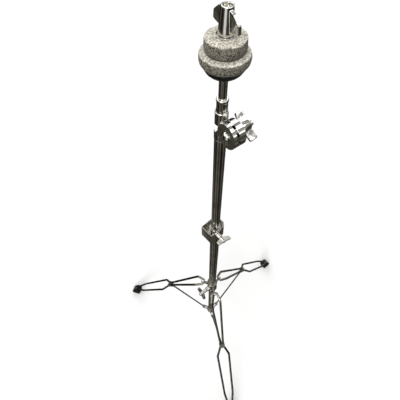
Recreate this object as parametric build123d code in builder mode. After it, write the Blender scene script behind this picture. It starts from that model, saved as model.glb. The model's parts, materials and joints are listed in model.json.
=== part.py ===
"""Light folding cymbal stand: telescoping tube, ratchet tilter, felts and three bent-wire legs.

Units are millimetres.  +Z is up, the tube's axis is the Z axis and the floor is z = 0.
The front leg points along -Y; the other two stand at 120 degrees to it.
"""
from build123d import *
from math import cos, radians, sin, tan
import os

os.makedirs("parts", exist_ok=True)

# ---- driving dimensions ------------------------------------------------------------------
LEG_TURNS = (-90.0, 30.0, 150.0)      # directions of the three legs, seen from above

LOWER_R, LOWER_BORE_R = 9.525, 8.325  # 3/4 in tube
UPPER_R, UPPER_BORE_R = 7.9375, 6.75  # 5/8 in tube
LOWER_Z = (105.0, 744.0)
UPPER_Z = (485.3, 980.0)
ROD_R, ROD_THREAD_R = 4.75, 3.95      # 3/8 in rod, 5/16 in thread

WIRE_R = 3.2                          # leg wire
PIVOT_R = 26.0                        # radius of the hub pivots and of the collar pivots
HUB_PIVOT_Z = 395.0
FOOT_TIP_R, FOOT_TIP_Z = 334.0, 8.0
LEG_DROP = 1.316                      # fall of the leg per millimetre outwards
NECK_R = 142.5
BRACE_DROP = 9.0                      # brace pivot below the wires' plane
BRACE_R = 2.3

HUB_R, HUB_BORE_R = 12.7, 9.6
HUB_Z = (376.0, 421.0)
HUB_SCREW_TURN, HUB_SCREW_Z = 205.0, 386.0

CLAMP_TURN = 30.0                     # the clamp box's long side
CLAMP_Z = (716.5, 748.0)
CLAMP_SCREW_Z = 723.5
SHEET = 1.5

TILT_TURN = 25.0                      # tilter axis, seen from above
TILT_Z = 998.0
TILT_OFFSET = -17.2                   # tilter axis in front of the tube's axis
DRUM_R = 16.4
FACE_U, LEFT_BASE_U, RIGHT_BASE_U = -6.6, -2.0, 1.5
DRUM_END_U, BOSS_R, BOSS_END_U = 10.2, 10.5, 13.2
TEETH, TOOTH_H = 10, 1.6
BOLT_R = 3.0

ROD_FOOT_Z = 1022.0
SEAT_Z = 1071.0
LOWER_FELT = (25.0, 1078.5, 1092.0)
UPPER_FELT = (20.0, 1092.0, 1106.0)
NUT_WASHER_Z = 1106.0
SCREW_R, SCREW_HOLE_R = 2.95, 3.0


def leg_z(r):
    """Height of the leg wires' plane at radius r."""
    return FOOT_TIP_Z + LEG_DROP * (FOOT_TIP_R - r)


LEG_N = Vector(LEG_DROP, 0, 1).normalized()        # out of the leg's plane, upwards
LEG_A = Vector(1, 0, -LEG_DROP).normalized()       # down along the leg
NECK = Vector(NECK_R, 0, leg_z(NECK_R))
BRACE_TOP = NECK - LEG_N * BRACE_DROP
COLLAR_PIVOT_Z = 2 * BRACE_TOP.Z - HUB_PIVOT_Z
LEG_PLANE = Plane(origin=NECK, x_dir=LEG_A, z_dir=LEG_N)


def turned(part, turn, lift=0.0):
    """The part turned about the tube's axis."""
    return Pos(0, 0, lift) * Rot(0, 0, turn) * part


def save(part, name):
    part.label = name
    export_step(part, "parts/" + name + ".step")


def corner_points(before, corner, after, radius):
    """Start, middle and end of the arc that rounds a corner of a bent wire."""
    into = (corner - before).normalized()
    out = (after - corner).normalized()
    turn = radians(into.get_angle(out))
    reach = radius * tan(turn / 2)
    start, end = corner - into * reach, corner + out * reach
    inward = (out - into).normalized()
    centre = corner + inward * (radius / cos(turn / 2))
    return start, centre - inward * radius, end


def bent_wire(points, radii, wire_r):
    """A round wire through the points, its corners rounded to the radii."""
    arcs = [corner_points(points[i], points[i + 1], points[i + 2], radii[i])
            for i in range(len(radii))]
    with BuildPart() as wire:
        with BuildLine() as path:
            at = points[0]
            for start, middle, end in arcs:
                Line(at, start)
                ThreePointArc(start, middle, end)
                at = end
            Line(at, points[-1])
        with BuildSketch(Plane(origin=points[0], z_dir=points[1] - points[0])):
            Circle(wire_r)
        sweep(path=path.line)
    return wire.part


def disc(radius, low, high, bore=0.0):
    """A disc or ring about Z."""
    with BuildPart() as ring:
        with Locations((0, 0, low)):
            Cylinder(radius, high - low, align=(Align.CENTER, Align.CENTER, Align.MIN))
            if bore:
                Cylinder(bore, high - low, align=(Align.CENTER, Align.CENTER, Align.MIN),
                         mode=Mode.SUBTRACT)
    return ring.part


def turned_profile(points):
    """A solid turned about Z from (radius, height) points."""
    with BuildPart() as body:
        with BuildSketch(Plane.XZ):
            with BuildLine():
                Polyline(*points, close=True)
            make_face()
        revolve(axis=Axis.Z)
    return body.part


def wing_body(boss, wing, thickness, round_r):
    """A boss turned about Z with two flat wings along X."""
    with BuildPart() as body:
        with BuildSketch(Plane.XZ):
            with BuildLine():
                Polyline(*boss, close=True)
            make_face()
        revolve(axis=Axis.Z)
        with BuildSketch(Plane.XZ) as blade:
            Polygon(*wing, align=None)
            fillet(blade.vertices(), round_r)
        extrude(amount=thickness / 2, both=True)
    return body.part


def aimed(part, origin, direction, roll=0.0):
    """A part drawn about Z, set at origin with its axis along direction."""
    plane = Plane(origin=origin, x_dir=Vector(0, 0, 1).cross(direction), z_dir=direction)
    return plane.location * Rot(0, 0, roll) * part


def heading(turn):
    return Vector(cos(radians(turn)), sin(radians(turn)), 0)


# ---- lower tube, its end cap and the brace collar ----------------------------------------
clamp_dir = heading(CLAMP_TURN - 90)
with BuildPart() as lower_tube:
    with Locations((0, 0, LOWER_Z[0])):
        Cylinder(LOWER_R, LOWER_Z[1] - LOWER_Z[0], align=(Align.CENTER, Align.CENTER, Align.MIN))
        Cylinder(LOWER_BORE_R, LOWER_Z[1] - LOWER_Z[0],
                 align=(Align.CENTER, Align.CENTER, Align.MIN), mode=Mode.SUBTRACT)
    with Locations(Plane(origin=(0, 0, CLAMP_SCREW_Z), z_dir=clamp_dir)):
        Cylinder(3.6, 14, align=(Align.CENTER, Align.CENTER, Align.MIN), mode=Mode.SUBTRACT)
save(lower_tube.part, "lower_tube")

end_cap = turned_profile([(0, 103.4), (8.0, 103.4), (9.3, 104.0), (9.3, 104.9), (8.3, 105.0),
                          (8.3, 113.0), (0, 113.0)])
save(end_cap, "tube_end_cap")

EAR_GAP, EAR_T = 2.4, 2.0             # half gap between a collar's two ears, ear thickness
with BuildPart() as lower_collar:
    with Locations((0, 0, COLLAR_PIVOT_Z - 8)):
        Cylinder(12.7, 16, align=(Align.CENTER, Align.CENTER, Align.MIN))
    for turn in LEG_TURNS:
        for side in (-1, 1):
            middle = side * (EAR_GAP + EAR_T / 2)
            with BuildSketch(Plane.XZ.rotated((0, 0, turn)).offset(-middle)) as ear:
                with Locations((18.5, COLLAR_PIVOT_Z)):
                    Rectangle(15, 11)
                with Locations((PIVOT_R, COLLAR_PIVOT_Z)):
                    Circle(5.5)
            extrude(amount=EAR_T / 2, both=True)
    with Locations((0, 0, COLLAR_PIVOT_Z - 9)):
        Cylinder(LOWER_R, 18, align=(Align.CENTER, Align.CENTER, Align.MIN), mode=Mode.SUBTRACT)
    for turn in LEG_TURNS:
        with BuildSketch(Plane.XZ.rotated((0, 0, turn))):
            with Locations((PIVOT_R, COLLAR_PIVOT_Z)):
                Circle(1.6)
        extrude(amount=8, both=True, mode=Mode.SUBTRACT)
save(lower_collar.part, "brace_collar")

pin = disc(1.6, -4.9, 4.9) + disc(2.8, 4.5, 5.8) + disc(2.8, -5.8, -4.5)
collar_pins = Compound(children=[
    turned(Pos(PIVOT_R, 0, COLLAR_PIVOT_Z) * Rot(90, 0, 0) * pin, turn) for turn in LEG_TURNS])
save(collar_pins, "collar_pins")

# ---- height clamp: open sheet box on the lower tube's top --------------------------------
BOX = [(-20.5, -11.1), (11.5, -11.1), (17.5, -5.0), (17.5, 6.0), (8.0, 17.2), (-20.5, 17.2)]
with BuildPart() as clamp_box:
    with BuildSketch(Plane.XY.offset(CLAMP_Z[0])) as outline:
        Polygon(*BOX, align=None)
        fillet(outline.vertices(), 2.0)
    extrude(amount=CLAMP_Z[1] - CLAMP_Z[0])
    with BuildSketch(Plane.XY.offset(CLAMP_Z[0] + SHEET)) as inside:
        Polygon(*BOX, align=None)
        fillet(inside.vertices(), 2.0)
        offset(amount=-SHEET, kind=Kind.INTERSECTION, mode=Mode.REPLACE)
    extrude(amount=CLAMP_Z[1] - CLAMP_Z[0], mode=Mode.SUBTRACT)
    with Locations((0, 0, CLAMP_Z[0] - 1)):
        Cylinder(LOWER_R, 40, align=(Align.CENTER, Align.CENTER, Align.MIN), mode=Mode.SUBTRACT)
    with Locations(Plane(origin=(0, 0, CLAMP_SCREW_Z), z_dir=(0, -1, 0))):
        Cylinder(3.6, 20, align=(Align.CENTER, Align.CENTER, Align.MIN), mode=Mode.SUBTRACT)
save(turned(clamp_box.part, CLAMP_TURN), "clamp_box")

with BuildPart() as jaw:
    with BuildSketch(Plane.XY.offset(CLAMP_Z[0] + SHEET)) as strip:
        with BuildLine():
            Polyline((-18.9, -6.5), (-9.5, 2.8), (-3.0, 9.7), (4.0, 9.7), (4.0, 11.2),
                     (-3.6, 11.2), (-10.6, 3.9), (-18.9, -4.4), close=True)
        make_face()
    extrude(amount=22)
    with Locations((0, 0, CLAMP_Z[0])):
        Cylinder(LOWER_R, 40, align=(Align.CENTER, Align.CENTER, Align.MIN), mode=Mode.SUBTRACT)
save(turned(jaw.part, CLAMP_TURN), "clamp_strap")

CLAMP_BOSS_END = 15.0                       # outer end of the clamp's threaded boss
boss = turned_profile([(3.6, 11.1), (5.2, 11.1), (5.2, CLAMP_BOSS_END - 0.6), (4.6, CLAMP_BOSS_END),
                       (SCREW_HOLE_R, CLAMP_BOSS_END), (SCREW_HOLE_R, 12.6), (3.6, 12.6)])
save(aimed(boss, (0, 0, CLAMP_SCREW_Z), clamp_dir), "clamp_boss")

PAD_GAP = 0.3
clamp_pad = disc(3.4, UPPER_R + PAD_GAP, 10.0)
save(aimed(clamp_pad, (0, 0, CLAMP_SCREW_Z), clamp_dir), "clamp_pad")


def wing_screw(tip, neck, crown, end, half_span, thickness):
    """A wing screw drawn along Z: shank from tip, boss from neck to end, wings at the crown."""
    profile = [(0, tip), (SCREW_R, tip), (SCREW_R, neck), (4.6, neck), (5.0, neck + 2),
               (3.9, end - 0.8), (3.1, end), (0, end)]
    blade = [(-half_span, crown + 1.5), (-half_span + 1.5, crown + 9.5), (-5.5, crown + 8.5),
             (5.5, crown + 8.5), (half_span - 1.5, crown + 9.5), (half_span, crown + 1.5),
             (4.0, crown - 2.5), (-4.0, crown - 2.5)]
    return wing_body(profile, blade, thickness, 2.0)


clamp_screw = wing_screw(10.3, CLAMP_BOSS_END + 0.4, 18.9, 28.0, 19.5, 3.0)
save(aimed(clamp_screw, (0, 0, CLAMP_SCREW_Z), clamp_dir, roll=-27), "clamp_wing_screw")

# ---- guide plug and upper tube -----------------------------------------------------------
guide = turned_profile([(0, 471), (7.6, 471), (8.275, 472), (8.275, 485), (6.68, 485),
                        (6.68, 510), (5.8, 512), (0, 512)])
save(guide, "guide_plug")

save(disc(UPPER_R, UPPER_Z[0], UPPER_Z[1], UPPER_BORE_R), "upper_tube")

# ---- tilter, drawn with its axis along X and the tube on Z -------------------------------
AXLE = Plane(origin=(0, TILT_OFFSET, TILT_Z), x_dir=(0, 1, 0), z_dir=(1, 0, 0))


def crown_teeth(base, height):
    """A ring of square teeth about the tilter's axis, standing on the plane at base."""
    step = radians(360.0 / TEETH)
    half = step * 0.23
    outer = DRUM_R - 0.2
    with BuildPart() as ring:
        with BuildSketch(AXLE.offset(base)):
            for i in range(TEETH):
                mid = step * (i + 0.5)
                with BuildLine():
                    Polyline((8.5 * cos(mid - half), 8.5 * sin(mid - half)),
                             (outer * cos(mid - half), outer * sin(mid - half)),
                             (outer * cos(mid), outer * sin(mid)),
                             (outer * cos(mid + half), outer * sin(mid + half)),
                             (8.5 * cos(mid + half), 8.5 * sin(mid + half)), close=True)
                make_face()
        extrude(amount=height)
    return ring.part


with BuildPart() as tilter_base:
    with Locations((0, 0, 980.3)):
        Cylinder(8.3, 14.7, align=(Align.CENTER, Align.CENTER, Align.MIN))
    chamfer(tilter_base.edges().filter_by(GeomType.CIRCLE), 0.7)
    with BuildSketch(AXLE.offset(RIGHT_BASE_U)):
        Circle(DRUM_R + 0.4)
    extrude(amount=-14, mode=Mode.SUBTRACT)
    with BuildSketch(AXLE.offset(RIGHT_BASE_U)):
        Circle(DRUM_R)
    extrude(amount=DRUM_END_U - RIGHT_BASE_U)
    with BuildSketch(AXLE.offset(DRUM_END_U)):
        Circle(BOSS_R)
    extrude(amount=BOSS_END_U - DRUM_END_U)
    add(crown_teeth(RIGHT_BASE_U, -TOOTH_H))
    with Locations((0, 0, 952)):
        Cylinder(6.7, 30, align=(Align.CENTER, Align.CENTER, Align.MIN))
    with BuildSketch(AXLE.offset(-15)):
        Circle(BOLT_R + 0.08)
    extrude(amount=60, mode=Mode.SUBTRACT)
save(turned(tilter_base.part, TILT_TURN), "tilter_base")

with BuildPart() as tilter_head:
    with Locations((0, 0, 1004.5)):
        Cylinder(8.0, ROD_FOOT_Z - 1004.5, align=(Align.CENTER, Align.CENTER, Align.MIN))
    chamfer(tilter_head.edges().filter_by(GeomType.CIRCLE).sort_by(Axis.Z)[-1], 0.7)
    with BuildSketch(AXLE.offset(LEFT_BASE_U)):
        Circle(DRUM_R + 0.4)
    extrude(amount=20, mode=Mode.SUBTRACT)
    with BuildSketch(AXLE.offset(FACE_U)):
        Circle(DRUM_R)
    extrude(amount=LEFT_BASE_U - FACE_U)
    with BuildSketch(AXLE.offset(FACE_U)):
        Circle(10.2)
        Circle(9.0, mode=Mode.SUBTRACT)
    extrude(amount=0.8, mode=Mode.SUBTRACT)
    add(crown_teeth(LEFT_BASE_U, TOOTH_H))
    with BuildSketch(AXLE.offset(-15)):
        Circle(BOLT_R)
    extrude(amount=30, mode=Mode.SUBTRACT)
save(turned(tilter_head.part, TILT_TURN), "tilter_head")

BOLT_END_U = 34.0
dome = turned_profile([(0, -11.0), (2.2, -10.7), (4.4, -9.7), (6.0, -8.2), (6.8, FACE_U),
                       (BOLT_R, FACE_U), (BOLT_R, BOLT_END_U - 1), (2.2, BOLT_END_U),
                       (0, BOLT_END_U)])
save(turned(AXLE.location * dome, TILT_TURN), "tilter_bolt")

tilter_washer = disc(9.5, BOSS_END_U + 0.3, BOSS_END_U + 2.8, BOLT_R + 0.08)
save(turned(AXLE.location * tilter_washer, TILT_TURN), "tilter_washer")

NUT_U = BOSS_END_U + 3.1
nut_boss = [(3.05, NUT_U), (7.0, NUT_U), (6.6, NUT_U + 4), (5.2, NUT_U + 13), (3.05, NUT_U + 13)]
nut_wing = [(-19.5, NUT_U + 2.5), (-18.5, NUT_U + 13.5), (-6.0, NUT_U + 12), (6.0, NUT_U + 12),
            (18.5, NUT_U + 13.5), (19.5, NUT_U + 2.5), (5.0, NUT_U + 0.5), (-5.0, NUT_U + 0.5)]
tilter_nut = wing_body(nut_boss, nut_wing, 4.0, 2.2) - disc(3.05, NUT_U - 1, NUT_U + 15)
save(turned(AXLE.location * Rot(0, 0, 33) * tilter_nut, TILT_TURN), "tilter_wing_nut")

# ---- rod, sleeve, seat and felts ---------------------------------------------------------
ROD_TOP_Z = 1128.0
rod = turned_profile([(0, ROD_FOOT_Z), (ROD_R, ROD_FOOT_Z), (ROD_R, SEAT_Z + 1.5),
                      (ROD_THREAD_R, SEAT_Z + 1.5), (ROD_THREAD_R, ROD_TOP_Z - 1), (3.2, ROD_TOP_Z),
                      (0, ROD_TOP_Z)])
save(rod, "cymbal_rod")

sleeve = turned_profile([(ROD_R, ROD_FOOT_Z), (7.0, ROD_FOOT_Z), (7.0, ROD_FOOT_Z + 2),
                         (6.6, ROD_FOOT_Z + 2.6), (6.6, 1035.2), (7.2, 1035.8), (7.2, 1038.2),
                         (6.4, 1039.0), (ROD_R, 1039.0)])
save(sleeve, "rod_sleeve")

seat = turned_profile([(ROD_THREAD_R, SEAT_Z + 1.5), (9.0, SEAT_Z + 1.5), (12.0, SEAT_Z - 0.5),
                       (16.5, SEAT_Z - 0.5), (19.0, SEAT_Z + 2.0), (21.0, SEAT_Z + 5.5),
                       (21.0, SEAT_Z + 7.5), (ROD_THREAD_R, SEAT_Z + 7.5)])
save(seat, "seat_washer")


def felt(radius, low, high, top_soft, foot_soft):
    """A thick felt washer with softened edges."""
    with BuildPart() as pad:
        with Locations((0, 0, low)):
            Cylinder(radius, high - low, align=(Align.CENTER, Align.CENTER, Align.MIN))
        rims = pad.edges().filter_by(GeomType.CIRCLE).sort_by(Axis.Z)
        fillet(rims[-1], top_soft)
        fillet(rims[0], foot_soft)
        with Locations((0, 0, low)):
            Cylinder(ROD_THREAD_R + 0.05, high - low, mode=Mode.SUBTRACT,
                     align=(Align.CENTER, Align.CENTER, Align.MIN))
    return pad.part


save(felt(*LOWER_FELT, 2.5, 5.5), "lower_felt")
save(felt(*UPPER_FELT, 2.0, 2.5), "upper_felt")

top_washer = disc(9.5, NUT_WASHER_Z + 0.3, NUT_WASHER_Z + 1.4, ROD_THREAD_R + 0.05)
save(top_washer, "top_washer")

TOP_NUT_Z = NUT_WASHER_Z + 1.7
top_boss = [(4.0, TOP_NUT_Z), (7.8, TOP_NUT_Z), (7.4, TOP_NUT_Z + 5), (6.0, 1130.6),
            (5.6, 1131.2), (4.0, 1131.2)]
top_wing = [(-19.6, 1113.5), (-18.6, 1121.5), (-11.0, 1127.5), (-5.0, 1129.0), (5.0, 1129.0),
            (11.0, 1127.5), (18.6, 1121.5), (19.6, 1113.5), (6.5, 1111.5), (-6.5, 1111.5)]
top_nut = wing_body(top_boss, top_wing, 3.6, 2.0) - disc(4.0, TOP_NUT_Z - 1, 1135)
save(turned(top_nut, -70), "top_wing_nut")

# ---- leg hub -----------------------------------------------------------------------------
EAR_HALF = 2.0
hub_dir = heading(HUB_SCREW_TURN)
with BuildPart() as hub:
    with BuildSketch(Plane.XZ):
        with BuildLine():
            Polyline((0, HUB_Z[0]), (HUB_R + 1.0, HUB_Z[0]), (HUB_R + 1.0, HUB_Z[0] + 2.5),
                     (HUB_R, HUB_Z[0] + 3.5), (HUB_R, HUB_Z[1] - 4.5), (HUB_R + 1.0, HUB_Z[1] - 3.5),
                     (HUB_R + 1.0, HUB_Z[1] - 1.0), (HUB_R, HUB_Z[1]), (0, HUB_Z[1]), close=True)
        make_face()
    revolve(axis=Axis.Z)
    for turn in LEG_TURNS:
        with BuildSketch(Plane.XZ.rotated((0, 0, turn))):
            with Locations((18.0, HUB_PIVOT_Z)):
                Rectangle(16, 13)
            with Locations((PIVOT_R, HUB_PIVOT_Z)):
                Circle(6.5)
        extrude(amount=EAR_HALF, both=True)
    with Locations(Plane(origin=(0, 0, HUB_SCREW_Z), z_dir=hub_dir)):
        Cylinder(6.0, 20.5, align=(Align.CENTER, Align.CENTER, Align.MIN))
    with Locations((0, 0, HUB_Z[0] - 1)):
        Cylinder(HUB_BORE_R, 60, align=(Align.CENTER, Align.CENTER, Align.MIN), mode=Mode.SUBTRACT)
    for turn in LEG_TURNS:
        with BuildSketch(Plane.XZ.rotated((0, 0, turn))):
            with Locations((PIVOT_R, HUB_PIVOT_Z)):
                Circle(WIRE_R + 0.08)
        extrude(amount=6, both=True, mode=Mode.SUBTRACT)
    with Locations(Plane(origin=(0, 0, HUB_SCREW_Z), z_dir=hub_dir)):
        Cylinder(3.7, 15.2, align=(Align.CENTER, Align.CENTER, Align.MIN), mode=Mode.SUBTRACT)
        Cylinder(SCREW_HOLE_R, 22, align=(Align.CENTER, Align.CENTER, Align.MIN), mode=Mode.SUBTRACT)
save(hub.part, "leg_hub")

hub_pad = disc(3.4, LOWER_R + PAD_GAP, 12.2)
save(aimed(hub_pad, (0, 0, HUB_SCREW_Z), hub_dir), "hub_pad")

hub_screw = wing_screw(12.5, 20.9, 33.0, 45.0, 20.5, 3.0)
save(aimed(hub_screw, (0, 0, HUB_SCREW_Z), hub_dir, roll=-44), "hub_wing_screw")

# ---- legs, drawn along +X and turned to their directions ---------------------------------
KNEE_R, KNEE_HALF = 46.4, 12.9
BEND_R, BEND_HALF = 165.3, 17.3
NECK_HALF = 3.5
half_path = [Vector(PIVOT_R, 0, HUB_PIVOT_Z), Vector(PIVOT_R, 6.6, HUB_PIVOT_Z),
             Vector(KNEE_R, KNEE_HALF, leg_z(KNEE_R)), Vector(NECK_R, NECK_HALF, leg_z(NECK_R)),
             Vector(BEND_R, BEND_HALF, leg_z(BEND_R)), Vector(262, 13.2, leg_z(262)),
             Vector(296, 6.2, leg_z(296)), Vector(316, 6.2, leg_z(316)), Vector(316, 0, leg_z(316))]
half_wire = bent_wire(half_path, [4.0, 12.0, 9.0, 12.0, 40.0, 20.0, 5.0], WIRE_R)
leg_wire = half_wire + half_wire.mirror(Plane.XZ)

FOOT = [(301.0, 0.0), (323.0, 0.0), (329.0, 6.0), (329.5, 13.0), (326.5, leg_z(326.5)),
        (303.0, leg_z(303.0)), (293.0, 36.0)]
with BuildPart() as foot:
    with BuildSketch(Plane.XZ) as side:
        Polygon(*FOOT, align=None)
        fillet(side.vertices(), 1.8)
    extrude(amount=15, both=True)
    with BuildSketch(Plane.XY) as above:
        Polygon((289, -12.0), (322, -14.0), (331.5, -12.5), (331.5, 12.5), (322, 14.0), (289, 12.0),
                align=None)
    extrude(amount=60, mode=Mode.INTERSECT)
    with BuildSketch(Plane.YZ.offset(280)):
        Polygon((-14.0, 50.0), (-14.0, 12.0), (-8.5, 0.0), (8.5, 0.0), (14.0, 12.0), (14.0, 50.0),
                align=None)
    extrude(amount=60, mode=Mode.INTERSECT)
foot_part = foot.part - leg_wire

with BuildPart() as clip:
    with BuildSketch(LEG_PLANE):
        Rectangle(13, 15.8)
    extrude(amount=4.0, both=True)
    for side in (-1, 1):
        with BuildSketch(LEG_PLANE.offset(-BRACE_DROP)):
            with Locations((0, side * (EAR_GAP + 0.9))):
                Rectangle(9, 1.8)
        extrude(amount=BRACE_DROP - 2)
        ear_plane = Plane(origin=BRACE_TOP + Vector(0, side * (EAR_GAP + 0.9), 0), z_dir=(0, 1, 0))
        with BuildSketch(ear_plane):
            Circle(4.5)
        extrude(amount=0.9, both=True)
    with BuildSketch(Plane(origin=BRACE_TOP, z_dir=(0, 1, 0))):
        Circle(1.6)
    extrude(amount=9, both=True, mode=Mode.SUBTRACT)
clip_part = clip.part - leg_wire

neck_pin = Pos(BRACE_TOP) * Rot(90, 0, 0) * (disc(1.6, -4.6, 4.6) + disc(2.7, 4.3, 5.4)
                                              + disc(2.7, -5.4, -4.3))

# ---- braces ------------------------------------------------------------------------------
BRACE_FOOT = Vector(PIVOT_R, 0, COLLAR_PIVOT_Z)
run = (BRACE_TOP - BRACE_FOOT).normalized()
with BuildPart() as brace:
    with BuildSketch(Plane(origin=BRACE_FOOT, z_dir=run)):
        Circle(BRACE_R)
    extrude(amount=(BRACE_TOP - BRACE_FOOT).length)
    for end in (BRACE_FOOT, BRACE_TOP):
        with BuildSketch(Plane(origin=end, z_dir=(0, 1, 0))):
            Circle(4.2)
        extrude(amount=EAR_GAP - 0.35, both=True)
    for end in (BRACE_FOOT, BRACE_TOP):
        with BuildSketch(Plane(origin=end, z_dir=(0, 1, 0))):
            Circle(1.68)
        extrude(amount=6, both=True, mode=Mode.SUBTRACT)

for number, turn in enumerate(LEG_TURNS, 1):
    save(turned(leg_wire, turn), "leg_wire_" + str(number))
    save(turned(foot_part, turn), "foot_" + str(number))
    save(turned(clip_part, turn), "neck_clip_" + str(number))
    save(turned(neck_pin, turn), "neck_pin_" + str(number))
    save(turned(brace.part, turn), "brace_" + str(number))
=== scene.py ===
"""Looks of the light folding cymbal stand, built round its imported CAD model.

Lengths are metres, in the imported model's own frame: +Z up the tube, -Y towards the front leg.
"""
import json
import math
import random

import bmesh
import bpy
import numpy as np
from mathutils import Matrix, Vector, noise


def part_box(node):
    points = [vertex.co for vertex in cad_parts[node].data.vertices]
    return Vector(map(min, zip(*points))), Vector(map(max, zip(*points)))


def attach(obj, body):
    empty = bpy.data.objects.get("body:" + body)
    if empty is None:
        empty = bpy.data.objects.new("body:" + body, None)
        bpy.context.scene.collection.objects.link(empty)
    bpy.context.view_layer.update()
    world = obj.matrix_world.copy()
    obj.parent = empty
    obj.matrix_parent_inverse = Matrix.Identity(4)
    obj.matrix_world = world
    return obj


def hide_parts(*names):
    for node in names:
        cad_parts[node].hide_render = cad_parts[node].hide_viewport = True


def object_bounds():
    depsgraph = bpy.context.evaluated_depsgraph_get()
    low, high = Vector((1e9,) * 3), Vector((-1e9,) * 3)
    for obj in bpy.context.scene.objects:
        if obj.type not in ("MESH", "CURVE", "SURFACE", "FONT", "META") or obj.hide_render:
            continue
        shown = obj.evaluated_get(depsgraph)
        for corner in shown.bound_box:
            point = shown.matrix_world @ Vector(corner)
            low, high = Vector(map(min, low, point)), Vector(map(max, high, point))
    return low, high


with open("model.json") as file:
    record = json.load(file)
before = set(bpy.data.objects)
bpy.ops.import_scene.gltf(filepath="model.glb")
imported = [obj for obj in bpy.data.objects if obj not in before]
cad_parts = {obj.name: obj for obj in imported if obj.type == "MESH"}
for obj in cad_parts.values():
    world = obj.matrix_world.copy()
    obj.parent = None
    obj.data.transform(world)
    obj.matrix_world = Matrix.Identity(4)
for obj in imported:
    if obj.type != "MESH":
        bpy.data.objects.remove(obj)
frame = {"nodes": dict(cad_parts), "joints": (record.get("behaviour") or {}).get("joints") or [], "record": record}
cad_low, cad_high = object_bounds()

MM = 0.001
SEED = 7
SAME_POINT = 0.002 * MM        # points closer than this are one point

scene = bpy.context.scene
scene.view_settings.view_transform = "Standard"
joints = {joint["name"]: joint for joint in frame["joints"]}
slot_of = {part["node"]: part["material_slot"] for part in frame["record"]["subparts"]}
body_of = {node: body for body, nodes in frame["record"]["behaviour"]["bodies"].items() for node in nodes}


def new_object(name, data):
    made = bpy.data.objects.new(name, data)
    scene.collection.objects.link(made)
    return made


# ---- camera: close above the stand, looking steeply down ---------------------------------
CAMERA_PLACE = Vector((-0.0734, -0.2582, 1.2527))
CAMERA_HEADING = math.radians(10.02)   # from +Y towards +X
CAMERA_PITCH = math.radians(57.12)     # below the horizon
CAMERA_ROLL = math.radians(1.72)
CAMERA_LENS = 27.38                    # the lens and the sensor are in millimetres
CAMERA_SENSOR = 36.0
CAMERA_NEAREST = 0.01


def place_camera():
    data = bpy.data.cameras.new("camera")
    data.lens = CAMERA_LENS
    data.sensor_width = CAMERA_SENSOR
    data.clip_start = CAMERA_NEAREST
    camera = new_object("camera", data)
    camera.matrix_world = (Matrix.Translation(CAMERA_PLACE)
                           @ Matrix.Rotation(-CAMERA_HEADING, 4, "Z")
                           @ Matrix.Rotation(math.pi / 2 - CAMERA_PITCH, 4, "X")
                           @ Matrix.Rotation(-CAMERA_ROLL, 4, "Z"))
    scene.camera = camera


place_camera()


# ---- materials ---------------------------------------------------------------------------
class Shader:
    """A material's or a world's node tree, and short ways to add nodes to it."""

    def __init__(self, name, tree=None):
        if tree is None:
            self.material = bpy.data.materials.new(name)
            self.material.use_nodes = True
            tree = self.material.node_tree
        self.tree = tree
        tree.nodes.clear()

    def node(self, kind, inputs=None, **settings):
        made = self.tree.nodes.new(kind)
        for key, value in settings.items():
            setattr(made, key, value)
        for key, value in (inputs or {}).items():
            socket = made.inputs[key]
            if isinstance(value, bpy.types.NodeSocket):
                self.tree.links.new(value, socket)
            else:
                socket.default_value = value
        return made

    def ramp(self, factor, stops, interpolation="LINEAR"):
        """A colour ramp; stops are (position, grey or colour)."""
        made = self.node("ShaderNodeValToRGB", {"Fac": factor})
        made.color_ramp.interpolation = interpolation
        points = made.color_ramp.elements
        while len(points) < len(stops):
            points.new(0.5)
        for point, (position, colour) in zip(points, stops):
            point.position = position
            point.color = (*colour, 1.0) if isinstance(colour, tuple) else (colour, colour, colour, 1.0)
        return made.outputs["Color"]

    def noise(self, where, scale, detail=3.0, rough=0.55):
        return self.node("ShaderNodeTexNoise", {"Vector": where, "Scale": scale, "Detail": detail,
                                                "Roughness": rough}).outputs["Fac"]

    def mix(self, factor, a, b, blend="MIX"):
        made = self.node("ShaderNodeMix", data_type="RGBA", blend_type=blend)
        for socket, value in ((made.inputs["Factor"], factor), (made.inputs[6], a), (made.inputs[7], b)):
            if isinstance(value, bpy.types.NodeSocket):
                self.tree.links.new(value, socket)
            else:
                socket.default_value = value if isinstance(value, float) else (*value, 1.0)
        return made.outputs[2]

    def math(self, operation, *values):
        return self.node("ShaderNodeMath", dict(enumerate(values)), operation=operation).outputs[0]

    def bump(self, height, strength, distance, normal=None):
        inputs = {"Height": height, "Strength": strength, "Distance": distance}
        if normal is not None:
            inputs["Normal"] = normal
        return self.node("ShaderNodeBump", inputs).outputs["Normal"]

    def principled(self, inputs):
        shader = self.node("ShaderNodeBsdfPrincipled", inputs)
        self.node("ShaderNodeOutputMaterial", {"Surface": shader.outputs[0]})
        return self.material

    def place(self, stretch=(1.0, 1.0, 1.0)):
        """Object coordinates, stretched along the axes."""
        where = self.node("ShaderNodeTexCoord").outputs["Object"]
        return self.node("ShaderNodeMapping", {"Vector": where, "Scale": stretch}).outputs["Vector"]

    def upward(self, coordinate):
        """The Z part of one of the texture coordinates."""
        whole = self.node("ShaderNodeTexCoord").outputs[coordinate]
        return self.node("ShaderNodeSeparateXYZ", {0: whole}).outputs["Z"]


CHROME_CLEAN, CHROME_DULL = (0.74, 0.73, 0.70), (0.50, 0.485, 0.44)
WIRE_CLEAN, WIRE_DULL = (0.30, 0.29, 0.25), (0.14, 0.13, 0.105)
RUST, RUST_ROUGHNESS = (0.10, 0.055, 0.03), (0.62, 0.62, 0.62)
DULLING = 2.6                  # how much rougher the hazy patches are than clean plate


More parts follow.
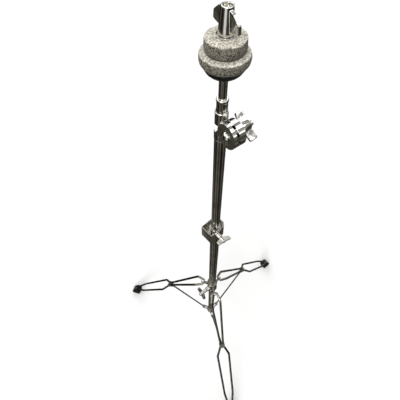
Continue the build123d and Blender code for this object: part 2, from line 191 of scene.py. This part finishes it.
def chrome_material(name, clean_plate_and_lit_top, dull, rough, spots):
    """Old chrome plate: hazy patches, hairline scratches along the tube and small rust specks."""
    s = Shader(name)
    where = s.place()
    haze = s.noise(where, scale=38.0, detail=5.0, rough=0.6)
    patches = s.ramp(haze, [(0.38, 0.0), (0.66, 1.0)])
    scratches = s.noise(s.place((900.0, 900.0, 14.0)), scale=1.0, detail=2.0, rough=0.5)
    specks = s.ramp(s.noise(where, scale=620.0, detail=3.0, rough=0.7), [(0.66, 0.0), (0.74, 1.0)])
    rusting = s.ramp(s.noise(where, scale=22.0, detail=2.0), [(0.48, 0.0), (0.62, spots)])
    rust = s.math("MULTIPLY", specks, rusting)
    colour = s.mix(rust, s.mix(patches, clean_plate_and_lit_top, dull), RUST)
    wear = s.math("ADD", s.math("MULTIPLY", haze, 0.6), s.math("MULTIPLY", scratches, 0.4))
    roughness = s.mix(rust, s.ramp(wear, [(0.34, rough), (0.68, rough * DULLING)]), RUST_ROUGHNESS)
    peel = s.bump(s.noise(where, scale=240.0, detail=2.0), strength=0.10, distance=0.4 * MM)
    worn = s.bump(scratches, strength=0.10, distance=0.06 * MM, normal=peel)
    pitted = s.bump(rust, strength=0.35, distance=0.08 * MM, normal=worn)
    return s.principled({"Base Color": colour, "Metallic": 1.0, "Roughness": roughness, "Normal": pitted})


# felt colours: a lit top colour and a painted-shade copy for the side and underside, each with its dark flecks
FELT_TOP_LIT, FELT_TOP_LIT_FLECK = (0.78, 0.75, 0.66), (0.27, 0.24, 0.19)
FELT_SIDE_SHADE, FELT_SIDE_SHADE_FLECK = (0.21, 0.19, 0.15), (0.032, 0.028, 0.021)
FELT_FIBRE = (0.80, 0.78, 0.70)
# painted shade from the lower felt's foot to the upper felt's top: darker at the foot and in a dark band at the
# seam between the two
FELTS_PAINTED_SHADE = [(0.0, 0.40), (0.14, 0.95), (0.50, 1.0), (0.52, 0.25), (0.62, 0.8), (0.75, 1.0)]


def felt_material(name):
    """Pressed wool: light and dark fibres matted together, with painted shade darkening the side and underside
    against a lit top.
    """
    s = Shader(name)
    where = s.place()
    clumps = s.noise(where, scale=190.0, detail=4.0, rough=0.6)
    flecks = s.noise(where, scale=560.0, detail=2.0, rough=0.75)
    strands = s.noise(s.place((1900.0, 700.0, 1200.0)), scale=1.0, detail=3.0, rough=0.65)
    unevenness = s.math("MULTIPLY", s.math("SUBTRACT", clumps, 0.5), 0.8)
    # painted shade: faces whose normal points up take the lit top colour, and the side and underside take the
    # darker shaded colour
    clean_plate_and_lit_top = s.ramp(s.math("ADD", s.upward("Normal"), unevenness), [(0.25, 0.0), (0.72, 1.0)])
    light = s.mix(clean_plate_and_lit_top, FELT_SIDE_SHADE, FELT_TOP_LIT)
    dark = s.mix(clean_plate_and_lit_top, FELT_SIDE_SHADE_FLECK, FELT_TOP_LIT_FLECK)
    colour = s.mix(s.ramp(flecks, [(0.42, 0.0), (0.58, 1.0)]), light, dark)
    colour = s.mix(s.ramp(strands, [(0.56, 0.0), (0.70, 0.85)]), colour, FELT_FIBRE)
    foot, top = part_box("lower_felt")[0].z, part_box("upper_felt")[1].z
    up = s.math("MULTIPLY", s.math("SUBTRACT", s.upward("Object"), foot), 1 / (top - foot))
    # painted shade: darkens the felts at the lower felt's foot and at the seam between them
    colour = s.mix(1.0, colour, s.ramp(up, FELTS_PAINTED_SHADE), "MULTIPLY")
    matted = s.bump(clumps, strength=0.7, distance=0.8 * MM)
    fibrous = s.bump(strands, strength=0.8, distance=0.4 * MM, normal=matted)
    grain = s.bump(flecks, strength=0.9, distance=0.5 * MM, normal=fibrous)
    return s.principled({"Base Color": colour, "Roughness": s.ramp(strands, [(0.3, 0.86), (0.8, 1.0)]),
                         "Sheen Weight": 0.08, "Sheen Roughness": 0.6, "Specular IOR Level": 0.1,
                         "Normal": grain})


def moulded_material(name, base, light, rough, grain):
    """Rubber or moulded plastic with a scuffed, finely grained skin."""
    s = Shader(name)
    where = s.place()
    scuffs = s.noise(where, scale=85.0, detail=5.0, rough=0.65)
    skin = s.noise(where, scale=grain, detail=3.0, rough=0.6)
    colour = s.mix(s.ramp(scuffs, [(0.45, 0.0), (0.75, 1.0)]), base, light)
    wear = s.math("ADD", s.math("MULTIPLY", scuffs, 0.5), s.math("MULTIPLY", skin, 0.5))
    worn = s.bump(scuffs, strength=0.25, distance=0.3 * MM)
    return s.principled({"Base Color": colour, "Specular IOR Level": 0.22,
                         "Roughness": s.ramp(wear, [(0.35, rough), (0.7, min(1.0, rough + 0.25))]),
                         "Normal": s.bump(skin, strength=0.35, distance=0.1 * MM, normal=worn)})


BRASS, BRASS_TARNISH = (0.72, 0.53, 0.24), (0.33, 0.21, 0.10)


def brass_material(name):
    """Turned brass: fine rings of tool marks and brown tarnish."""
    s = Shader(name)
    tarnish = s.noise(s.place(), scale=160.0, detail=4.0, rough=0.6)
    marks = s.noise(s.place((2600.0, 2600.0, 300.0)), scale=1.0, detail=2.0)
    colour = s.mix(s.ramp(tarnish, [(0.4, 0.0), (0.7, 1.0)]), BRASS, BRASS_TARNISH)
    return s.principled({"Base Color": colour, "Metallic": 1.0,
                         "Roughness": s.ramp(tarnish, [(0.3, 0.22), (0.7, 0.5)]),
                         "Normal": s.bump(marks, strength=0.2, distance=0.05 * MM)})


RUBBER, RUBBER_SCUFFED = (0.006, 0.006, 0.006), (0.020, 0.019, 0.018)
PLASTIC, PLASTIC_SCUFFED = (0.004, 0.004, 0.004), (0.012, 0.012, 0.011)
NYLON, NYLON_SCUFFED = (0.62, 0.60, 0.53), (0.76, 0.74, 0.67)

materials = {
    "chrome": chrome_material("old_chrome", CHROME_CLEAN, CHROME_DULL, rough=0.075, spots=0.6),
    "wire_chrome": chrome_material("wire_chrome", WIRE_CLEAN, WIRE_DULL, rough=0.13, spots=1.0),
    "clip_steel": chrome_material("clip_steel", WIRE_CLEAN, WIRE_DULL, rough=0.34, spots=1.0),
    "grey_felt": felt_material("wool_felt"),
    "black_rubber": moulded_material("foot_rubber", RUBBER, RUBBER_SCUFFED, rough=0.55, grain=1500.0),
    "black_seat": moulded_material("seat_plastic", PLASTIC, PLASTIC_SCUFFED, rough=0.42, grain=900.0),
    "nylon": moulded_material("guide_nylon", NYLON, NYLON_SCUFFED, rough=0.4, grain=700.0),
    "brass_pad": brass_material("pad_brass"),
}


# ---- meshes ------------------------------------------------------------------------------
def final_mesh(obj):
    """The object's mesh with its modifiers applied; the object itself is removed."""
    bpy.context.view_layer.update()
    evaluated = obj.evaluated_get(bpy.context.evaluated_depsgraph_get())
    mesh = bpy.data.meshes.new_from_object(evaluated)
    bpy.data.objects.remove(obj)
    return mesh


def vertex_values(mesh, name):
    """Each vertex's co or normal, as rows of three."""
    flat = np.zeros(len(mesh.vertices) * 3)
    mesh.vertices.foreach_get(name, flat)
    return flat.reshape(-1, 3)


def set_coordinates(mesh, points):
    mesh.vertices.foreach_set("co", np.ascontiguousarray(points, dtype=np.float64).ravel())
    mesh.update()


def smooth_shading(mesh):
    mesh.polygons.foreach_set("use_smooth", [True] * len(mesh.polygons))


def cast_copy(node, voxel, softness, keep):
    """A closed copy of a CAD node's mesh with rounded edges and filled inner corners."""
    mesh = frame["nodes"][node].data.copy()
    work = bmesh.new()
    work.from_mesh(mesh)
    bmesh.ops.remove_doubles(work, verts=work.verts, dist=SAME_POINT)
    work.to_mesh(mesh)
    work.free()
    rough = new_object("work", mesh)
    remesh = rough.modifiers.new("remesh", "REMESH")
    remesh.mode = "VOXEL"
    remesh.voxel_size = voxel
    soften = rough.modifiers.new("soften", "SMOOTH")
    soften.factor = 0.5
    soften.iterations = softness
    thin = rough.modifiers.new("thin", "DECIMATE")
    thin.ratio = keep
    return final_mesh(rough)


def finish_piece(name, mesh, node):
    """A new piece that stands for a CAD node and has its slot, material and body."""
    slot = slot_of[node]
    mesh.materials.clear()
    mesh.materials.append(materials[slot])
    smooth_shading(mesh)
    piece = new_object(name, mesh)
    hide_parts(node)
    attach(piece, body_of[node])
    return piece


# ---- wing nuts and wing screws -----------------------------------------------------------
WING_VOXEL = 0.42 * MM
WING_SOFTNESS = 7
WING_KEEP = 0.45
WING_RIM = 2.2 * MM        # width of the raised border round a wing
WING_RIM_FLAT = 0.45       # share of that width before the border starts to fall
WING_DISH = 0.42           # share of the thickness taken out inside the border
WING_FADE = 2.0 * MM       # length over which the dish starts at the boss
WING_FLAT = 0.55           # points whose normals are nearer the thickness than this are on the flats

WINGS = {                  # piece: its CAD node, its joint and how far from the axis its boss reaches
    "wing_nut_top": ("top_wing_nut", "top_nut_turn", 7.6 * MM),
    "wing_nut_tilter": ("tilter_wing_nut", "tilter_nut_turn", 7.0 * MM),
    "wing_screw_clamp": ("clamp_wing_screw", "clamp_screw_turn", 6.0 * MM),
    "wing_screw_hub": ("hub_wing_screw", "hub_screw_turn", 6.0 * MM),
}


def wing_axes(node, joint):
    """Origin and three unit vectors: along the wings, through their thickness, and the screw's axis."""
    axis = np.array(joints[joint]["axis"], float)
    axis /= np.linalg.norm(axis)
    origin = np.array(joints[joint]["pos_m"], float)
    points = vertex_values(frame["nodes"][node].data, "co") - origin
    flat = points - np.outer(points @ axis, axis)
    along = np.linalg.eigh(flat.T @ flat)[1][:, -1]
    return origin, along, np.cross(axis, along), axis


def dish_wings(mesh, origin, along, across, axis, boss):
    """Hollows the flat of each wing, so that a border stands proud round its edge."""
    points = vertex_values(mesh, "co") - origin
    x, y, z = points @ along, points @ across, points @ axis
    facing = np.abs(vertex_values(mesh, "normal") @ across)
    on_wing = np.abs(x) > boss
    rim = on_wing & (facing < WING_FLAT)
    edge = np.stack([x[rim], z[rim]], 1)
    inset = np.zeros(len(x))
    for i in np.nonzero(on_wing & ~rim)[0]:
        inset[i] = np.sqrt(np.min((edge[:, 0] - x[i]) ** 2 + (edge[:, 1] - z[i]) ** 2))
    fall = np.clip((inset - WING_RIM_FLAT * WING_RIM) / WING_RIM, 0, 1)
    start = np.clip((np.abs(x) - boss) / WING_FADE, 0, 1)
    y = y * (1 - WING_DISH * fall * fall * (3 - 2 * fall) * start)
    set_coordinates(mesh, origin + np.outer(x, along) + np.outer(y, across) + np.outer(z, axis))


def wing_piece(name, node, joint, boss):
    mesh = cast_copy(node, WING_VOXEL, WING_SOFTNESS, WING_KEEP)
    dish_wings(mesh, *wing_axes(node, joint), boss)
    return finish_piece(name, mesh, node)


for name, (node, joint, boss) in WINGS.items():
    wing_piece(name, node, joint, boss)


# ---- felts -------------------------------------------------------------------------------
FELT_TURNS = 144           # points round a felt
FACE_POINTS = 14           # points across its flat face
CORNER_POINTS = 9          # points round a corner
SIDE_POINTS = 8            # points up its side
SIDE_BULGE = 0.15 * MM
BORE_MOUTH = 2.0 * MM      # the bore's edge is rounded in steps over this width
BORE_POINTS = 4
BORE_STEP, BORE_DROP = 0.4 * MM, 0.3 * MM
BORE_INSIDE = 0.35         # share of the height where the bore's wall starts
BORE_CLEAR = 4.0 * MM      # width beside the bore over which the lumps fade in
CROWN_START = 0.5          # share of the radius where the crowned face starts to fall
FELT_LUMP = 0.45 * MM      # height of the lumps in the pressed wool
LUMP_SINK = 0.25           # share of that height by which the skin lies inside the CAD solid
LARGE_LUMPS, LARGE_SHARE = 110.0, 0.65
SMALL_LUMPS, SMALL_SHARE = 420.0, 0.35
SOLE_SHARE = 0.06          # share of the height at a felt's foot that is pressed flat
SOLE_LUMPS = 0.4           # how high the lumps are there, as a share
HAIRLESS = 0.42            # share of the radius, under the nut or the other felt, with no loose hairs
LUMP_OCTAVES = 4

FIBRE_RADIUS = 0.045 * MM
FIBRE_SINK = 0.08 * MM     # how deep a loose hair's root lies in the wool
FIBRE_STEP = (0.35 * MM, 0.8 * MM)
FIBRE_CURL = (-0.6, 0.6)   # radians a step
FIBRE_LIFT = (0.05, 0.6)   # how steeply a hair rises from the wool
FIBRE_FALL = 0.7           # how steeply its second half comes back, as a share of that
FIBRE_TAPER = 0.6          # how much thinner a hair's ends are than its middle
FIBRE_RINGS = 6
FIBRE_SIDES = 3


def felt_profile(radius, bore, low, high, foot_corner, top_corner):
    """Half a felt's section as (radius, height) points, from the bore's foot round to its top."""
    height = high - low
    points = [(bore, low + BORE_INSIDE * height)]
    for i in range(BORE_POINTS):
        points.append((bore + BORE_STEP * i, low + BORE_DROP * (BORE_POINTS - 1 - i)))
    points += [(r, low) for r in np.linspace(bore + BORE_MOUTH, radius - foot_corner, FACE_POINTS)]
    for i in range(1, CORNER_POINTS + 1):
        a = math.pi / 2 * i / CORNER_POINTS
        points.append((radius - foot_corner * (1 - math.sin(a)), low + foot_corner * (1 - math.cos(a))))
    side = np.linspace(low + foot_corner, high - top_corner, SIDE_POINTS)
    points += [(radius + SIDE_BULGE, z) for z in side[1:-1]]
    for i in range(CORNER_POINTS):
        a = math.pi / 2 * i / CORNER_POINTS
        points.append((radius - top_corner * (1 - math.cos(a)), high - top_corner * (1 - math.sin(a))))
    points += [(r, high) for r in np.linspace(radius - top_corner, bore + BORE_MOUTH, FACE_POINTS)]
    for i in range(BORE_POINTS):
        points.append((bore + BORE_STEP * (BORE_POINTS - 1 - i), high - BORE_DROP * i))
    points.append((bore, high - BORE_INSIDE * height))
    return points


def turned(profile, count):
    """Vertices and faces of a ring turned about Z, closed through its bore."""
    angles = np.linspace(0, 2 * math.pi, count, endpoint=False)
    verts = [(r * math.cos(a), r * math.sin(a), z) for a in angles for r, z in profile]
    n = len(profile)
    faces = [(i * n + j, ((i + 1) % count) * n + j, ((i + 1) % count) * n + (j + 1) % n, i * n + (j + 1) % n)
             for i in range(count) for j in range(n)]
    return np.array(verts), faces


def lumps(points, scale, seed):
    """Smooth noise about zero at each point, each octave half as high and half as wide as the last."""
    shift = Vector((seed, 0, 0))
    return np.array([noise.fractal(Vector(p) * scale + shift, 1.0, 2.0, LUMP_OCTAVES) for p in points])


def hair(at, n, rng):
    """The corners of one loose hair, ring by ring, from its root at a point with normal n."""
    heading = n.orthogonal()
    heading.rotate(Matrix.Rotation(rng.uniform(0, 2 * math.pi), 3, n))
    at = at - n * FIBRE_SINK
    step = rng.uniform(*FIBRE_STEP)
    curl = rng.uniform(*FIBRE_CURL)
    lift = rng.uniform(*FIBRE_LIFT)
    corners = []
    for k in range(FIBRE_RINGS):
        side = heading.cross(n).normalized()
        width = FIBRE_RADIUS * (1.0 - FIBRE_TAPER * abs(2 * k / (FIBRE_RINGS - 1) - 1))
        for corner in range(FIBRE_SIDES):
            a = 2 * math.pi * corner / FIBRE_SIDES
            corners.append(at + side * math.cos(a) * width + n * math.sin(a) * width)
        heading.rotate(Matrix.Rotation(curl, 3, n))
        rise = lift * (1 if k < FIBRE_RINGS / 2 else -FIBRE_FALL)
        at = at + (heading + n * rise).normalized() * step
    return corners


def hair_faces(first):
    """The faces of a hair whose corners start at index first."""
    faces = []
    for k in range(FIBRE_RINGS - 1):
        ring = first + k * FIBRE_SIDES
        for corner in range(FIBRE_SIDES):
            a, b = ring + corner, ring + (corner + 1) % FIBRE_SIDES
            faces.append((a, b, b + FIBRE_SIDES, a + FIBRE_SIDES))
    last = first + (FIBRE_RINGS - 1) * FIBRE_SIDES
    return faces + [(first + 2, first + 1, first), (last, last + 1, last + 2)]


def add_hairs(mesh, count, rng, reach):
    """Loose hairs lying over a felt, no nearer its axis than reach."""
    points = vertex_values(mesh, "co")
    normals = vertex_values(mesh, "normal")
    outside = [i for i in range(len(points)) if math.hypot(points[i][0], points[i][1]) > reach]
    work = bmesh.new()
    work.from_mesh(mesh)
    for i in rng.sample(outside, count):
        corners = [work.verts.new(v) for v in hair(Vector(points[i]), Vector(normals[i]), rng)]
        for face in hair_faces(0):
            work.faces.new([corners[c] for c in face])
    work.to_mesh(mesh)
    work.free()


def felt_piece(name, node, foot_corner, top_corner, crown, count, seed):
    """A felt washer: lumpy pressed wool with a crowned top and loose hairs."""
    low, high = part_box(node)
    radius = (high.x - low.x) / 2
    cad_points = vertex_values(frame["nodes"][node].data, "co")
    bore = float(np.hypot(cad_points[:, 0], cad_points[:, 1]).min())
    verts, faces = turned(felt_profile(radius, bore, low.z, high.z, foot_corner, top_corner), FELT_TURNS)
    out = np.hypot(verts[:, 0], verts[:, 1])
    share = (verts[:, 2] - low.z) / (high.z - low.z)
    edge = np.clip((out - CROWN_START * radius) / ((1 - CROWN_START) * radius), 0, 1)
    verts[:, 2] -= crown * edge ** 2 * share
    mesh = bpy.data.meshes.new(name)
    mesh.from_pydata(verts.tolist(), [], faces)
    mesh.update()
    points = vertex_values(mesh, "co")
    clear_of_bore = np.clip((out - bore) / BORE_CLEAR, 0, 1)
    rise = LARGE_SHARE * lumps(points, LARGE_LUMPS, seed) + SMALL_SHARE * lumps(points, SMALL_LUMPS, seed + 3)
    rise = np.where(share < SOLE_SHARE, -np.abs(rise) * SOLE_LUMPS, rise - LUMP_SINK)
    lift = (FELT_LUMP * rise * clear_of_bore)[:, None]
    set_coordinates(mesh, points + vertex_values(mesh, "normal") * lift)
    add_hairs(mesh, count, random.Random(SEED + int(seed)), HAIRLESS * radius)
    piece = finish_piece(name, mesh, node)
    return piece


felt_piece("felt_lower", "lower_felt", foot_corner=5.5 * MM, top_corner=2.4 * MM, crown=0.5 * MM,
           count=900, seed=11.0)
felt_piece("felt_upper", "upper_felt", foot_corner=2.5 * MM, top_corner=2.0 * MM, crown=0.4 * MM,
           count=700, seed=29.0)


# ---- rubber feet -------------------------------------------------------------------------
FOOT_VOXEL = 0.75 * MM
FOOT_SOFTNESS = 8
FOOT_KEEP = 0.6
FOOT_LUMP = 0.35 * MM
FOOT_LUMP_SCALE = 60.0


def foot_piece(number):
    """A rubber foot with soft corners; its sole stays flat on the floor."""
    node = "foot_" + str(number)
    low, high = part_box(node)
    mesh = cast_copy(node, FOOT_VOXEL, FOOT_SOFTNESS, FOOT_KEEP)
    points = vertex_values(mesh, "co")
    bulge = lumps(points, FOOT_LUMP_SCALE, 5.0 * number) * FOOT_LUMP
    outward = points - np.array([*(low + high) / 2])
    outward /= np.linalg.norm(outward, axis=1)[:, None]
    points += outward * bulge[:, None]
    points[:, 2] = np.maximum(points[:, 2], low.z)
    set_coordinates(mesh, points)
    return finish_piece("rubber_foot_" + str(number), mesh, node)


for number in (1, 2, 3):
    foot_piece(number)


# ---- CAD parts that stay: softened edges and their own material --------------------------
EDGE = 0.30 * MM
EDGES = {"clamp_box": 0.5 * MM, "rod_sleeve": 0.5 * MM, "tilter_base": 0.55 * MM, "tilter_head": 0.55 * MM,
         "leg_hub": 0.45 * MM, "seat_washer": 0.6 * MM, "top_washer": 0.2 * MM, "upper_tube": 0.15 * MM}
EDGE_SEGMENTS = 2
EDGE_ANGLE = math.radians(32)  # corners sharper than this are softened


def cad_material(name):
    """The slot's material, but for the legs' neck clips and pins, which are duller steel."""
    return materials["clip_steel" if name.startswith("neck_") else slot_of[name]]


def dress_cad_part(name, node):
    mesh = node.data
    for slot in range(len(mesh.materials)):
        mesh.materials[slot] = cad_material(name)
    if not mesh.materials:
        mesh.materials.append(cad_material(name))
    smooth_shading(mesh)
    if "custom_normal" in mesh.attributes:
        mesh.attributes.remove(mesh.attributes["custom_normal"])
    weld = node.modifiers.new("weld", "WELD")
    weld.merge_threshold = SAME_POINT
    bevel = node.modifiers.new("edges", "BEVEL")
    bevel.width = EDGES.get(name, EDGE)
    bevel.segments = EDGE_SEGMENTS
    bevel.limit_method = "ANGLE"
    bevel.angle_limit = EDGE_ANGLE
    bevel.harden_normals = True


for name, node in frame["nodes"].items():
    if not node.hide_render:
        dress_cad_part(name, node)


# ---- floor -------------------------------------------------------------------------------
FLOOR_SIDE = 40.0
FLOOR_DROP = 0.05 * MM         # below the soles
PAPER_SHADED, PAPER = (0.75, 0.75, 0.75), (0.77, 0.77, 0.77)


def lay_floor():
    """A sheet of white paper, which the chrome doesn't mirror and which throws no light back up."""
    mesh = bpy.data.meshes.new("floor")
    half = FLOOR_SIDE / 2
    mesh.from_pydata([(-half, -half, 0), (half, -half, 0), (half, half, 0), (-half, half, 0)], [],
                     [(0, 1, 2, 3)])
    floor = new_object("floor", mesh)
    floor.location.z = cad_low.z - FLOOR_DROP
    s = Shader("paper")
    colour = s.ramp(s.noise(s.place(), scale=2.0), [(0.3, PAPER_SHADED), (0.7, PAPER)])
    mesh.materials.append(s.principled({"Base Color": colour, "Roughness": 0.9, "Specular IOR Level": 0.0}))
    floor.visible_glossy = False
    floor.visible_diffuse = False


lay_floor()


# ---- light: a dim room with a bright, patchy ceiling and two tall panels -----------------
CEILING_GLOW = 2.6
LAMP_GAP = 0.10                # brightness between the ceiling's lit patches
PANEL_GLOW = 0.9
BACKDROP = (1.0, 1.0, 1.0)     # what the camera sees past the floor
WALL_DARK, WALL_PALE = (0.016, 0.015, 0.012), (0.15, 0.142, 0.118)
WALLS = [(0.0, WALL_DARK), (0.10, WALL_PALE), (0.165, WALL_DARK), (0.235, WALL_PALE), (0.275, WALL_DARK),
         (0.36, WALL_DARK), (0.42, WALL_PALE), (0.50, WALL_DARK), (0.62, WALL_PALE), (0.75, WALL_DARK),
         (0.86, WALL_DARK), (0.92, WALL_PALE), (0.975, WALL_DARK)]
CEILING = [(0.0, 0.0), (0.62, 0.0), (0.70, 1.0), (0.93, 1.0), (0.975, 0.2)]
PANELS = [(0.0, 0.0), (0.08, 0.0), (0.12, 1.0), (0.17, 1.0), (0.21, 0.0), (0.55, 0.0), (0.59, 1.0),
          (0.66, 1.0), (0.70, 0.0)]
PANEL_BAND = [(0.20, 0.0), (0.28, 1.0), (0.58, 1.0), (0.66, 0.0)]

SUN_RAYS = Vector((0.40, 0.72, -0.57))      # from the front left, down past the camera
SUN_ENERGY = 1.3
SUN_SPREAD = math.radians(26)


def light_room():
    """The room that the chrome mirrors. WALLS and PANELS run round it, CEILING and PANEL_BAND up it."""
    world = bpy.data.worlds.new("studio")
    scene.world = world
    world.use_nodes = True
    s = Shader("studio", world.node_tree)
    direction = s.node("ShaderNodeTexCoord").outputs["Generated"]
    level = s.node("ShaderNodeSeparateXYZ", {0: direction}).outputs["Z"]
    up = s.math("MULTIPLY_ADD", level, 0.5, 0.5)
    around = s.node("ShaderNodeTexGradient", {"Vector": direction}, gradient_type="RADIAL").outputs["Fac"]
    mottle = s.ramp(s.noise(direction, scale=1.7, detail=1.0), [(0.38, 0.45), (0.62, 1.3)])
    room = s.mix(1.0, s.ramp(around, WALLS), mottle, "MULTIPLY")
    lamps = s.ramp(s.noise(direction, scale=3.1, detail=1.0), [(0.45, LAMP_GAP), (0.53, 1.0)])
    ceiling = s.mix(1.0, s.ramp(up, CEILING, "EASE"), lamps, "MULTIPLY")
    panels = s.math("MULTIPLY", s.ramp(around, PANELS, "EASE"), s.ramp(up, PANEL_BAND, "EASE"))
    glow = s.math("ADD", s.math("MULTIPLY", ceiling, CEILING_GLOW), s.math("MULTIPLY", panels, PANEL_GLOW))
    seen = s.node("ShaderNodeLightPath").outputs["Is Camera Ray"]
    shown = s.mix(seen, s.mix(1.0, room, glow, "ADD"), BACKDROP)
    light = s.node("ShaderNodeBackground", {"Color": shown, "Strength": 1.0})
    s.node("ShaderNodeOutputWorld", {"Surface": light.outputs[0]})


def place_sun():
    data = bpy.data.lights.new("soft_sun", "SUN")
    data.energy = SUN_ENERGY
    data.angle = SUN_SPREAD
    sun = new_object("soft_sun", data)
    sun.matrix_world = SUN_RAYS.to_track_quat("-Z", "Y").to_matrix().to_4x4()


light_room()
place_sun()
